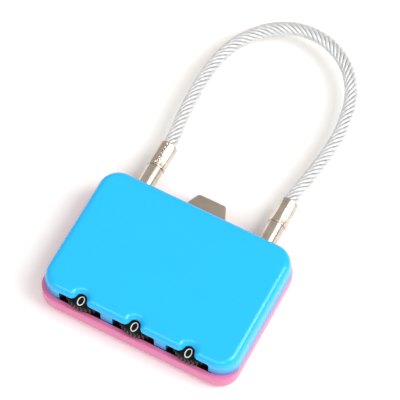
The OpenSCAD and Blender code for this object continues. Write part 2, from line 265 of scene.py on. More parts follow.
class Rule(Tree):
    """A geometry tree with named inputs, which is run once on a piece and then taken off it."""

    def __init__(self, name: str, inputs: Mapping[str, str]) -> None:
        """Starts a geometry tree.

        Args:
            name: The tree's name.
            inputs: The kind of socket of each named input.
        """
        super().__init__(bpy.data.node_groups.new(name, "GeometryNodeTree"))
        face = self.tree.interface
        face.new_socket("Geometry", in_out="INPUT", socket_type="NodeSocketGeometry")
        face.new_socket("Geometry", in_out="OUTPUT", socket_type="NodeSocketGeometry")
        self.keys = {label: face.new_socket(label, in_out="INPUT", socket_type=kind).identifier
                     for label, kind in inputs.items()}
        self.source = self.tree.nodes.new("NodeGroupInput")

    def given(self, label: str) -> Socket:
        """One of the tree's inputs, by name."""
        return Socket(self, self.source.outputs[label])

    def end(self, geometry: Socket, material: Material) -> None:
        """Ends the tree in real faces with a material."""
        real = self.node("GeometryNodeRealizeInstances", None, {0: geometry})
        dressed = self.node("GeometryNodeSetMaterial", None, {"Geometry": real, "Material": material})
        self.tree.links.new(dressed.link, self.tree.nodes.new("NodeGroupOutput").inputs[0])

    def run(self, piece: Object, values: Mapping[str, Any]) -> None:
        """Runs the tree on a piece and keeps the result as its plain mesh.

        Args:
            piece: The piece.
            values: A value for each named input.
        """
        modifier = piece.modifiers.new("rule", "NODES")
        modifier.node_group = self.tree
        for label, value in values.items():
            modifier[self.keys[label]] = value
        settle(piece)


# ---- Meshes ----


class Solid:
    """Points and faces gathered ring by ring into one closed mesh."""

    def __init__(self) -> None:
        """Starts with nothing."""
        self.points: list[Point3] = []
        self.faces: list[tuple[int, ...]] = []

    def ring(self, points: Iterable[Point3]) -> list[int]:
        """Adds a ring of points and returns their places."""
        start = len(self.points)
        self.points.extend(points)
        return list(range(start, len(self.points)))

    def bridge(self, first: Sequence[int], second: Sequence[int]) -> None:
        """Joins two rings of the same count with four-sided faces."""
        for k in range(len(first)):
            m = (k + 1) % len(first)
            self.faces.append((first[k], first[m], second[m], second[k]))

    def tube(self, rings: Sequence[Sequence[Point3]], capped: bool = True) -> None:
        """Joins rings in order, and closes both ends or joins the last to the first.

        Args:
            rings: The rings, each with the same count.
            capped: Whether the ends get a face each; if not, the tube runs back into itself.
        """
        made = [self.ring(r) for r in rings]
        for first, second in zip(made, made[1:]):
            self.bridge(first, second)
        if capped:
            self.faces.append(tuple(reversed(made[0])))
            self.faces.append(tuple(made[-1]))
        else:
            self.bridge(made[-1], made[0])

    def make(self, name: str, merge_mm: float = 1e-4) -> Object:
        """Writes the mesh as an object at the origin.

        Args:
            name: The object's name.
            merge_mm: Points closer than this become one.

        Returns:
            The object, with its faces outwards.
        """
        mesh = bpy.data.meshes.new(name)
        mesh.from_pydata([(x * MM, y * MM, z * MM) for x, y, z in self.points], [], self.faces)
        piece = bpy.data.objects.new(name, mesh)
        bpy.context.scene.collection.objects.link(piece)
        work = bmesh.new()
        work.from_mesh(mesh)
        bmesh.ops.remove_doubles(work, verts=work.verts, dist=merge_mm * MM)
        bmesh.ops.dissolve_degenerate(work, edges=work.edges, dist=merge_mm * MM / 10)
        bmesh.ops.recalc_face_normals(work, faces=work.faces)
        work.to_mesh(mesh)
        work.free()
        return piece


def settle(piece: Object) -> None:
    """Makes a piece's modifiers part of its plain mesh."""
    bpy.context.view_layer.update()
    graph = bpy.context.evaluated_depsgraph_get()
    mesh = bpy.data.meshes.new_from_object(piece.evaluated_get(graph), depsgraph=graph)
    piece.modifiers.clear()
    piece.data = mesh


def smooth(piece: Object, angle: float = 35) -> None:
    """Shades a piece smooth, with its edges over an angle in degrees kept sharp."""
    piece.data.shade_smooth()
    piece.data.set_sharp_from_angle(angle=math.radians(angle))


def subtract(piece: Object, cutters: Sequence[Object]) -> None:
    """Cuts other objects out of a piece and removes them."""
    for cutter in cutters:
        modifier = piece.modifiers.new("cut", "BOOLEAN")
        modifier.operation = "DIFFERENCE"
        modifier.solver = "EXACT"
        modifier.object = cutter
    settle(piece)
    for cutter in cutters:
        bpy.data.objects.remove(cutter)


def ease_edges(piece: Object, width_mm: float, angle: float = 50, segments: int = 2) -> None:
    """Rounds the edges of a piece that are sharper than an angle in degrees."""
    modifier = piece.modifiers.new("ease", "BEVEL")
    modifier.limit_method = "ANGLE"
    modifier.angle_limit = math.radians(angle)
    modifier.width = width_mm * MM
    modifier.segments = segments
    modifier.use_clamp_overlap = True
    settle(piece)


def prism(outline: Sequence[Point2], low: float, high: float, along: str = "z") -> Object:
    """A straight-sided solid.

    Args:
        outline: Its section: X and Y, or X and Z for one that runs along Y.
        low: Where it starts along its axis.
        high: Where it ends.
        along: "z" or "y".

    Returns:
        The solid, as an object.
    """
    solid = Solid()
    solid.tube([[(x, v, h) if along == "z" else (x, h, v) for x, v in outline] for h in (low, high)])
    return solid.make("cutter")


def rounded_box(width: float, height: float, radius: float, steps: int = 12) -> list[Point2]:
    """The outline of a rounded rectangle round the origin, anticlockwise."""
    points = []
    for quarter in range(4):
        sx = 1 if quarter in (0, 3) else -1
        sy = 1 if quarter < 2 else -1
        for k in range(steps + 1):
            a = math.radians(90 * quarter + 90 * k / steps)
            points.append((sx * (width / 2 - radius) + radius * math.cos(a),
                           sy * (height / 2 - radius) + radius * math.sin(a)))
    return points


def circle(x: float, y: float, radius: float, steps: int = 48) -> list[Point2]:
    """The outline of a circle, anticlockwise."""
    return [(x + radius * math.cos(FULL_TURN * k / steps), y + radius * math.sin(FULL_TURN * k / steps))
            for k in range(steps)]


def lathe(profile: Sequence[Point2], x: float, z: float, steps: int = 64) -> Solid:
    """A turned solid round an axis along Y.

    Args:
        profile: Radius and Y of each corner, from one end of the axis to the other.
        x: Where the axis is.
        z: Its height.
        steps: How many sides it has.
    """
    solid = Solid()
    solid.tube([[(x + r * math.cos(FULL_TURN * k / steps), y, z + r * math.sin(FULL_TURN * k / steps))
                 for k in range(steps)] for r, y in profile])
    return solid


def joined(name: str, pieces: Sequence[Object]) -> Object:
    """Puts several pieces in one mesh, which keeps the first one's materials.

    Args:
        name: The new piece's name.
        pieces: The pieces, which are removed.

    Returns:
        The new piece.
    """
    work = bmesh.new()
    for piece in pieces:
        work.from_mesh(piece.data)
    mesh = bpy.data.meshes.new(name)
    work.to_mesh(mesh)
    work.free()
    for piece in pieces:
        bpy.data.objects.remove(piece)
    made = bpy.data.objects.new(name, mesh)
    bpy.context.scene.collection.objects.link(made)
    return made


def dress(piece: Object, material: Material, slot: Slot, body: Optional[str],
          *replaced: str) -> Object:
    """Gives a finished piece its material, its body and the CAD nodes it stands for.

    Args:
        piece: The piece, in place.
        material: Its material.
        slot: The record's material slot; not used.
        body: The body that it rides on, or None to leave it unattached.
        replaced: The CAD nodes that it stands for.

    Returns:
        The same piece.
    """
    piece.data.materials.clear()
    piece.data.materials.append(material)
    for face in piece.data.polygons:
        face.material_index = 0
    if body:
        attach(piece, body)
    if replaced:
        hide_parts(*replaced)
    log.info("%s: %d faces", piece.name, len(piece.data.polygons))
    return piece


# ---- Finishes ----


@dataclass(frozen=True)
class MouldedPlastic:
    """Glossy injection-moulded plastic with a faint ripple and hairline scratches."""

    name: str
    colour: Colour
    shade: Colour
    gloss: float = 0.16

    def make(self) -> Material:
        """Builds the material."""
        s = Shader(self.name)
        cloud = s.noise(9, 2)
        hairs = s.band(s.noise(2.2, 2, s.stretched((1, 0.04, 1), (0.3, 0.1, 0))), 0.66, 0.74)
        crossed = s.band(s.noise(2.6, 2, s.stretched((0.05, 1, 1), (0.1, 0.4, 0))), 0.68, 0.76)
        marks = s.node("ShaderNodeMath", {"operation": "MAXIMUM"}, {0: hairs, 1: crossed})
        dust = s.band(s.noise(0.5, 1), 0.72, 0.78)
        ripple = s.noise(3.5, 1)
        return s.finish(
            Base_Color=s.blend(s.band(cloud, 0.3, 0.7, 0, 0.35), self.colour, self.shade),
            Roughness=self.gloss + s.band(cloud, 0.3, 0.7, 0, 0.05) + 0.06 * marks + 0.1 * dust,
            Normal=s.bump(ripple + 0.05 * marks, 0.004),
            IOR=1.48)


@dataclass(frozen=True)
class NickelPlate:
    """Nickel plate with a drawn grain, smudges and small pits."""

    name: str
    grain: Point3
    colour: Colour = (0.71, 0.64, 0.56)
    dull: Colour = (0.50, 0.43, 0.36)
    roughness: float = 0.2

    def make(self) -> Material:
        """Builds the material."""
        s = Shader(self.name)
        lines = s.noise(0.5, 4, s.stretched(self.grain))
        smudge = s.noise(2.4, 3)
        pits = s.band(s.noise(0.16, 1), 0.68, 0.78)
        return s.finish(
            Base_Color=s.blend(s.band(smudge, 0.38, 0.72, 0, 0.7), self.colour, self.dull),
            Metallic=1 - 0.15 * pits,
            Roughness=(self.roughness + s.band(lines, 0.3, 0.7, -0.04, 0.08)
                       + s.band(smudge, 0.45, 0.7, 0, 0.1)),
            Normal=s.bump(lines + 0.6 * (1 - pits), 0.006, 0.6))


@dataclass(frozen=True)
class DialPlastic:
    """Black plastic with a fine moulded grain; the crests of the teeth are painted paler, partly as rubbing wear
    and partly as a painted highlight.
    """

    name: str
    axis: Point2
    crest: float

    def make(self) -> Material:
        """Builds the material."""
        s = Shader(self.name)
        out = s.node("ShaderNodeVectorMath", {"operation": "LENGTH"}, {0: s.stretched(
            (1, 1, 0), (-self.axis[0] * MM, -self.axis[1] * MM, 0))}, "Value")
        near_crest = s.band(out, (self.crest - 0.16) * MM, (self.crest + 0.02) * MM)
        # Paler crests: partly rubbing wear, partly a painted highlight on the teeth.
        rubbed_and_highlight = near_crest * s.band(s.noise(0.7, 2), 0.3, 0.6)
        grain = s.noise(0.12, 2)
        return s.finish(
            Base_Color=s.blend(0.6 * rubbed_and_highlight, (0.004, 0.004, 0.0045), (0.03, 0.029, 0.028)),
            Roughness=0.34 + s.band(grain, 0.3, 0.7, -0.05, 0.08) - 0.08 * rubbed_and_highlight,
            Normal=s.bump(grain, 0.006, 0.5), IOR=1.48, Specular_IOR_Level=0.22)


@dataclass(frozen=True)
class DigitPaint:
    """White pad-printed paint that lies a little unevenly."""

    name: str = "digit_paint"

    def make(self) -> Material:
        """Builds the material."""
        s = Shader(self.name)
        patch = s.noise(0.35, 3)
        return s.finish(
            Base_Color=s.blend(s.band(patch, 0.42, 0.7), (0.86, 0.85, 0.82), (0.62, 0.60, 0.57)),
            Roughness=0.42 + s.band(patch, 0.3, 0.7, 0, 0.15), Normal=s.bump(patch, 0.01, 0.5))


@dataclass(frozen=True)
class ClearSheath:
    """Clear soft plastic, slightly milky, drawn over the rope."""

    name: str = "clear_sheath"
    cover: float = 0.1

    def make(self) -> Material:
        """Builds the material."""
        s = Shader(self.name)
        milk = s.noise(1.6, 3)
        return s.finish(
            Base_Color=s.blend(milk, (0.93, 0.95, 0.96), (0.84, 0.88, 0.9)),
            Alpha=self.cover + s.band(milk, 0.3, 0.7, -0.05, 0.08),
            Roughness=0.12 + s.band(milk, 0.3, 0.7, 0, 0.08),
            Normal=s.bump(milk, 0.01, 0.5), IOR=1.45)


@dataclass(frozen=True)
class RopeSteel:
    """Galvanised steel strands, each laid from finer wires."""

    name: str = "rope_steel"
    bright: Colour = (0.78, 0.795, 0.81)
    tarnished: Colour = (0.58, 0.595, 0.61)
    metal: float = 0.4
    wire: float = 0.16

    def make(self) -> Material:
        """Builds the material."""
        s = Shader(self.name)
        tarnish = s.noise(0.9, 3)
        fine = s.noise(self.wire, 2)
        return s.finish(
            Base_Color=s.blend(s.band(tarnish, 0.35, 0.7), self.bright, self.tarnished),
            Metallic=self.metal, Roughness=0.36 + s.band(fine, 0.3, 0.7, -0.08, 0.12),
            Normal=s.bump(fine, 0.02, 0.6))


@dataclass(frozen=True)
class PlainMetal:
    """The metal of a part inside the case, with its tool marks and a little oil."""

    name: str
    colour: Colour
    roughness: float
    grain: Point3 = (1, 1, 12)

    def make(self) -> Material:
        """Builds the material."""
        s = Shader(self.name)
        marks = s.noise(0.8, 4, s.stretched(self.grain))
        oil = s.noise(3, 2)
        darker = tuple(0.72 * c for c in self.colour)
        return s.finish(
            Base_Color=s.blend(s.band(oil, 0.35, 0.7, 0, 0.8), self.colour, darker),
            Metallic=1.0, Roughness=self.roughness + s.band(marks, 0.3, 0.7, -0.06, 0.1),
            Normal=s.bump(marks, 0.008, 0.6))


@dataclass(frozen=True)
class StudioFloor:
    """The pale paper floor."""

    name: str = "studio_floor"
    colour: Colour = (0.97, 0.97, 0.97)

    def make(self) -> Material:
        """Builds the material."""
        s = Shader(self.name)
        fibre = s.noise(1.2, 3)
        darker = tuple(0.97 * c for c in self.colour)
        return s.finish(
            Base_Color=s.blend(s.band(fibre, 0.3, 0.7, 0, 0.25), self.colour, darker),
            Roughness=0.75, Specular_IOR_Level=0.2)


# ---- Studio ----


@dataclass(frozen=True)
class Lamp:
    """A softbox that faces the lock from a distance, with its size and power in watts."""

    name: str
    toward: Point3
    distance: float
    size: Point2
    power: float
    colour: Colour

    def hang(self) -> None:
        """Adds the lamp to the scene."""
        data = bpy.data.lights.new(self.name, "AREA")
        data.shape = "RECTANGLE"
        data.size, data.size_y = self.size[0] * MM, self.size[1] * MM
        data.energy = self.power
        data.color = self.colour
        made = bpy.data.objects.new(self.name, data)
        way = Vector(self.toward).normalized()
        made.location = way * self.distance * MM
        made.rotation_euler = way.to_track_quat("Z", "Y").to_euler()
        bpy.context.scene.collection.objects.link(made)


@dataclass
class Studio:
    """The floor, the lights and the camera, which are no part of the lock."""

    azimuth: float = 28.05
    elevation: float = 64.2
    distance: float = 435.4
    lens: float = 207.7
    aim_right: float = 5.96
    aim_up: float = 16.18
    floor_half: float = 3000.0
    air: Colour = (0.95, 0.90, 0.84)
    air_strength: float = 0.56
    lamps: tuple[Lamp, ...] = (
        Lamp("key", (0.87, 0.22, 0.98), 900, (560, 620), 6.6, (1.0, 0.985, 0.96)),
        Lamp("fill", (0.05, -0.62, 0.80), 1000, (1300, 420), 4.4, (1.0, 1.0, 1.0)))

    def camera(self) -> None:
        """Places the camera and makes it the scene's."""
        a, e = math.radians(self.azimuth), math.radians(self.elevation)
        away = Vector((math.sin(a) * math.cos(e), -math.cos(a) * math.cos(e), math.sin(e)))
        right = Vector((math.cos(a), math.sin(a), 0))
        up = away.cross(right)
        spot = away * self.distance
        look = (right * self.aim_right + up * self.aim_up - spot).normalized()
        side = look.cross(up).normalized()
        turn = Matrix((side, side.cross(look), -look)).transposed()
        data = bpy.data.cameras.new("camera")
        data.lens = self.lens
        data.sensor_width = 36
        data.clip_start = 0.01
        data.clip_end = 20
        made = bpy.data.objects.new("camera", data)
        made.matrix_world = Matrix.Translation(spot * MM) @ turn.to_4x4()
        bpy.context.scene.collection.objects.link(made)
        bpy.context.scene.camera = made

    def build(self) -> None:
        """Builds the floor, the lights and the surroundings."""
        floor = prism([(-self.floor_half, -self.floor_half), (self.floor_half, -self.floor_half),
                       (self.floor_half, self.floor_half), (-self.floor_half, self.floor_half)], -4, 0)
        floor.name = "floor"
        floor.data.materials.append(StudioFloor().make())
        for lamp in self.lamps:
            lamp.hang()
        world = bpy.data.worlds.new("surroundings")
        world.use_nodes = True
        air = world.node_tree.nodes["Background"]
        air.inputs["Color"].default_value = (*self.air, 1)
        air.inputs["Strength"].default_value = self.air_strength
        bpy.context.scene.world = world
        bpy.context.scene.view_settings.view_transform = "Standard"
        log.info("studio: floor, two softboxes and the camera")


# ---- Cable ----


@dataclass
class CableLoop:
    """A rope of twisted strands in a clear sheath, bent into a loop between the plugs."""

    height: float = 4.2
    radius: float = 1.38
    telegraph: float = 0.03
    strands: int = 7
    lay_radius: float = 0.98
    strand_radius: float = 0.33
    core_radius: float = 0.78
    pitch: float = -8.3
    sides: int = 36
    step: float = 0.4
    buried: float = 3.5
    route: tuple[Point2, ...] = (
        (-13, 21), (-13, 24.5), (-13.2, 27.5), (-13.6, 30.5), (-13.9, 33.5), (-14.1, 36.5),
        (-14.2, 39.6), (-14.1, 42.7), (-13.8, 45.8), (-13.1, 48.9), (-12, 51.8), (-10.4, 54.4),
        (-8.5, 56.7), (-6.1, 58.6), (-3.2, 59.9), (0, 60.4), (3.4, 60), (6.4, 58.8),
        (9, 57), (11.1, 54.7), (12.7, 52), (13.8, 49), (14.4, 45.8), (14.8, 42.7),
        (14.8, 39.6), (14.6, 36.5), (14.2, 33.5), (13.8, 30.5), (13.3, 27.5), (13, 24.5), (13, 21))

    def line(self) -> list[Vector]:
        """The centreline: a smooth curve through the route's points, a short step apart."""
        stops = [Vector((x, y, self.height)) for x, y in self.route]
        stops = [2 * stops[0] - stops[1], *stops, 2 * stops[-1] - stops[-2]]
        points = [stops[1]]
        for a, b, c, d in zip(stops, stops[1:], stops[2:], stops[3:]):
            count = max(2, round((c - b).length / self.step))
            for k in range(1, count + 1):
                t = k / count
                points.append(0.5 * (2 * b + (c - a) * t + (2 * a - 5 * b + 4 * c - d) * t ** 2
                                     + (3 * b - a - 3 * c + d) * t ** 3))
        return points

    def sheath(self, line: Sequence[Vector]) -> Object:
        """The clear tube, which shows the strands' twist faintly on its outside."""
        solid = Solid()
        rings, run = [], 0.0
        for k, point in enumerate(line):
            if k:
                run += (point - line[k - 1]).length
            along = (line[min(k + 1, len(line) - 1)] - line[max(k - 1, 0)]).normalized()
            side = along.cross(Vector((0, 0, 1)))
            ring = []
            for i in range(self.sides):
                a = FULL_TURN * i / self.sides
                wave = math.cos(self.strands * (a - FULL_TURN * run / self.pitch))
                r = self.radius + self.telegraph * (wave - 1) / 2
                ring.append(tuple(point + r * (math.cos(a) * side + math.sin(a) * Vector((0, 0, 1)))))
            rings.append(ring)
        solid.tube(rings)
        piece = solid.make("cable_sheath")
        smooth(piece, 60)
        return piece

    def twist(self, steel: Material) -> Rule:
        """The rule that lays strands round a line at a given pitch.

        Args:
            steel: The strands' material.
        """
        rule = Rule("strand_lay", {"Strands": "NodeSocketInt", "Lay radius": "NodeSocketFloat",
                                   "Pitch": "NodeSocketFloat", "Strand radius": "NodeSocketFloat",
                                   "Step": "NodeSocketFloat"})
        curve = rule.node("GeometryNodeMeshToCurve", None, {0: rule.given("Geometry")})
        fine = rule.node("GeometryNodeResampleCurve", {"mode": "LENGTH"},
                         {"Curve": curve, "Length": rule.given("Step")})
        copies = rule.node("GeometryNodeDuplicateElements", {"domain": "SPLINE"},
                           {"Geometry": fine, "Amount": rule.given("Strands")})
        which = Socket(rule, copies.link.node.outputs["Duplicate Index"])
        run = rule.node("GeometryNodeSplineParameter", out="Length")
        angle = FULL_TURN * (run / rule.given("Pitch") + which / rule.given("Strands"))
        up = rule.node("ShaderNodeCombineXYZ", None, {2: 1.0})
        side = rule.node("ShaderNodeVectorMath", {"operation": "CROSS_PRODUCT"}, {
            0: rule.node("GeometryNodeInputTangent"), 1: up})
        across, rise = (rule.node("ShaderNodeVectorMath", {"operation": "SCALE"}, {
            0: way, "Scale": share * rule.given("Lay radius")})
            for way, share in ((side, angle.cosine()), (up, angle.sine())))
        shift = rule.node("ShaderNodeVectorMath", {"operation": "ADD"}, {0: across, 1: rise})
        laid = rule.node("GeometryNodeSetPosition", None, {"Geometry": copies, "Offset": shift})
        wire = rule.node("GeometryNodeCurvePrimitiveCircle", {"mode": "RADIUS"}, {
            "Resolution": 8, "Radius": rule.given("Strand radius")})
        solid = rule.node("GeometryNodeCurveToMesh", None, {
            "Curve": laid, "Profile Curve": wire, "Fill Caps": True})
        rule.end(solid, steel)
        return rule

    def strand(self, name: str, line: Sequence[Vector], steel: Material, count: int, lay: float,
               radius: float) -> Object:
        """Strands laid along a line.

        Args:
            name: The piece's name.
            line: The line.
            steel: Their material.
            count: How many there are.
            lay: How far each stands off the line.
            radius: Each strand's own radius.

        Returns:
            The strands as one piece.
        """
        mesh = bpy.data.meshes.new(name)
        mesh.from_pydata([tuple(p * MM) for p in line], [(k, k + 1) for k in range(len(line) - 1)], [])
        piece = bpy.data.objects.new(name, mesh)
        bpy.context.scene.collection.objects.link(piece)
        self.twist(steel).run(piece, {
            "Strands": count, "Lay radius": lay * MM, "Pitch": self.pitch * MM,
            "Strand radius": radius * MM, "Step": 0.35 * MM})
        smooth(piece, 60)
        return piece

    def build(self, plugs: Sequence[Object]) -> None:
        """Args:
            plugs: The pieces that stand on the cable's ends; not used.
        """
        line = self.line()
        bright = RopeSteel().make()
        # The core is painted near-black: painted shade in the gaps between the strands.
        core_painted_shade = RopeSteel("rope_core_steel", (0.16, 0.165, 0.17), (0.10, 0.105, 0.11)).make()
        sheath = dress(self.sheath(line), ClearSheath().make(), Slot.SHEATH, None, "cable")
        rope = dress(self.strand("cable_strands", line, bright, self.strands, self.lay_radius,
                                 self.strand_radius), bright, Slot.ROPE, None)
        core = dress(self.strand("cable_core", line, core_painted_shade, 1, 0.0, self.core_radius), core_painted_shade,
                     Slot.ROPE, None)
        for piece in (sheath, rope, core):
            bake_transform(piece)
        length = sum((b - a).length for a, b in zip(line, line[1:]))
        [tuple(p * MM) for p in line]
        seen = length - 2 * self.buried
        log.info("cable: %.1f mm long, %.1f mm of it between the sleeves", length, seen)


# ---- Plugs ----


@dataclass
class Plug:
    """A turned pin with a ring groove, and the sleeve that is crimped on the cable."""

    side: Side
    height: float = 4.2
    offset: float = 13.0
    pin: float = 1.7
    inner_end: float = 5.55
    lead: float = 0.5
    groove: Point2 = (8.85, 9.85)
    groove_radius: float = 1.2
    shoulder: float = 19.0
    butt: float = 21.0
    spigot: float = 1.44
    sleeve: float = 1.85
    sleeve_end: float = 24.5
    bore: float = 1.45
    around: int = 96
    lengthwise: int = 44

    @property
    def x(self) -> float:
        """Where the plug's axis is."""
        return self.side.value * self.offset

    def build_pin(self, name: str) -> Object:
        """The turned pin, with its small edges broken."""
        e = 0.12
        low, high = self.groove
        profile = [(1e-4, self.inner_end), (self.pin - self.lead, self.inner_end),
                   (self.pin, self.inner_end + self.lead), (self.pin, low - e), (self.pin - e, low),
                   (self.groove_radius, low), (self.groove_radius, high), (self.pin - e, high),
                   (self.pin, high + e), (self.pin, self.shoulder - e), (self.pin - e, self.shoulder),
                   (self.spigot, self.shoulder), (self.spigot, self.butt), (1e-4, self.butt)]
        piece = lathe(profile, self.x, self.height).make(name)
        smooth(piece, 30)
        return piece

    def crimped(self, angle: float, y: float) -> float:
        """The sleeve's outer radius, by the angle from +X towards +Z in radians and by Y."""
        t = (y - self.shoulder) / (self.sleeve_end - self.shoulder)
        fade = max(0.0, math.sin(math.pi * min(1.0, max(0.0, t)))) ** 0.5
        r = self.sleeve
        if self.side is Side.FIXED:
            flats, seam, depth = (1.02, 2.85), 1.56, 0.3
        else:
            flats, seam, depth = (1.0, 2.5), 4.4, 0.2
        for flat in flats:
            turn = math.cos(angle - flat)
            if turn > 0:
                r = min(r, (self.sleeve - 0.14 * fade) / max(turn, 1e-6))
        wobble = 0.05 * math.sin(2.3 * y + 1) + 0.035 * math.sin(5.9 * y)
        gap = (angle - seam - wobble + math.pi) % FULL_TURN - math.pi
        width = 0.05 + 0.02 * math.sin(7.1 * y + 0.4) + 0.015 * math.sin(13.7 * y)
        r -= depth * math.exp(-(gap / width) ** 2)
        r += 0.06 * math.exp(-((abs(gap) - 0.13) / 0.07) ** 2) * (0.6 + 0.4 * math.sin(9.1 * y + 3 * gap))
        edge = 0.12
        ends = min(y - self.shoulder, self.sleeve_end - y)
        if ends < edge:
            r -= edge - math.sqrt(max(0.0, edge ** 2 - (edge - ends) ** 2))
        return r

    def build_sleeve(self, name: str) -> Object:
        """The crimped sleeve, a tube that is flattened by the tool and split along its seam."""
        solid = Solid()
        length = self.sleeve_end - self.shoulder
        stops = [0, 0.004, 0.012, 0.024] + [0.024 + 0.952 * k / self.lengthwise
                                            for k in range(1, self.lengthwise)] + [0.976, 0.988, 0.996, 1]
        angles = [FULL_TURN * k / self.around for k in range(self.around)]
        outer = [[(self.x + self.crimped(a, y) * math.cos(a), y, self.height + self.crimped(a, y) * math.sin(a))
                  for a in angles] for y in (self.shoulder + length * t for t in stops)]
        inner = [[(self.x + self.bore * math.cos(a), y, self.height + self.bore * math.sin(a))
                  for a in angles] for y in (self.sleeve_end, self.shoulder)]
        solid.tube(outer + inner, capped=False)
        piece = solid.make(name)
        smooth(piece, 50)
        return piece

    def build(self) -> list[Object]:
        """Builds the pin and the sleeve and puts them on their body.

        Returns:
            Both pieces.
        """
        kind = self.side.name.lower()
        body = "plug" if self.side is Side.FREE else "case"
        plate = NickelPlate(f"{kind}_plug_nickel", (1, 0.12, 1)).make()
        return [dress(self.build_pin(f"{kind}_plug_pin"), plate, Slot.PLATED, body, f"{kind}_plug"),
                dress(self.build_sleeve(f"{kind}_plug_crimp"), plate, Slot.PLATED, body, f"{kind}_plug_sleeve")]


# ---- Case ----


@dataclass(frozen=True)
class RimPoint:
    """A point of the front's outline, and how far the rounding may come in from it."""

    x: float
    y: float
    inward: Point2
    reach: float = math.inf
    notch: Optional[tuple[float, int]] = None

    def moved(self, inset: float, ridge: Any) -> Point2:
        """Where the outline's point is when the outline is drawn in.

        Args:
            inset: How far it is drawn in.
            ridge: Gives the place of the ridge beside a notch, by dial, side and inset.
        """
        if inset > self.reach and self.notch:
            return ridge(*self.notch, inset)
        return self.x + inset * self.inward[0], self.y + inset * self.inward[1]


